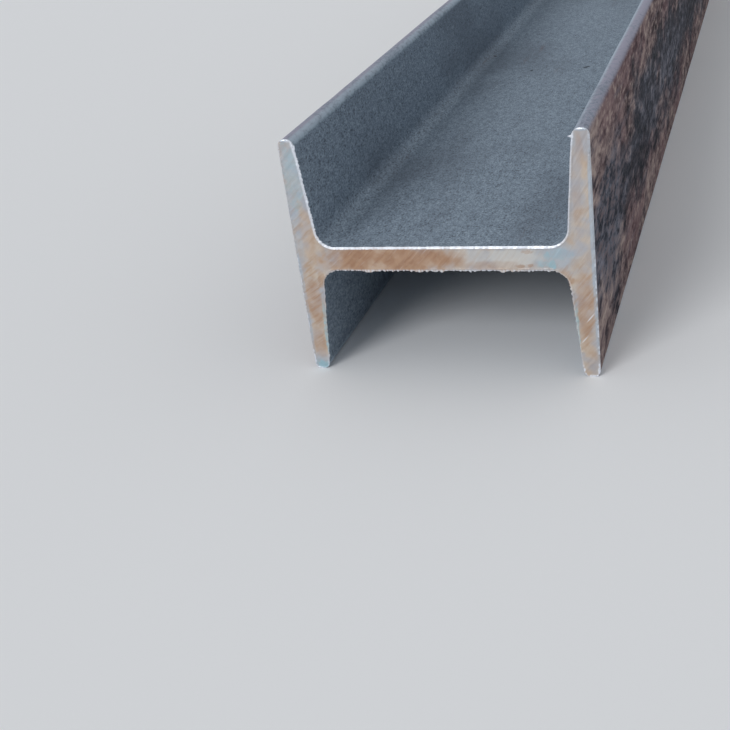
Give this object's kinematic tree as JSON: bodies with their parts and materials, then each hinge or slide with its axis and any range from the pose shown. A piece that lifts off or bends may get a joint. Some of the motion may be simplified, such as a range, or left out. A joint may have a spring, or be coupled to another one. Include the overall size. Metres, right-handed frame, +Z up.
{
  "type": "steel i-beam",
  "caption": "Rolled steel I-beam with tapered flanges, a stock length sawn square at the ends, lying with its web level.",
  "frame": {"origin": "under the middle of the beam, at the height of the toes that it rests on", "axes": "+X across the depth of the section, +Y along the length, +Z up the width of the flanges"},
  "size_m": [0.1524, 6, 0.127],
  "materials": {
    "steel": "hot-rolled mill scale with a film of rust, bare and sawn at the ends"
  },
  "bodies": {
    "root": {"i_beam": "steel"}
  },
  "joints": []
}
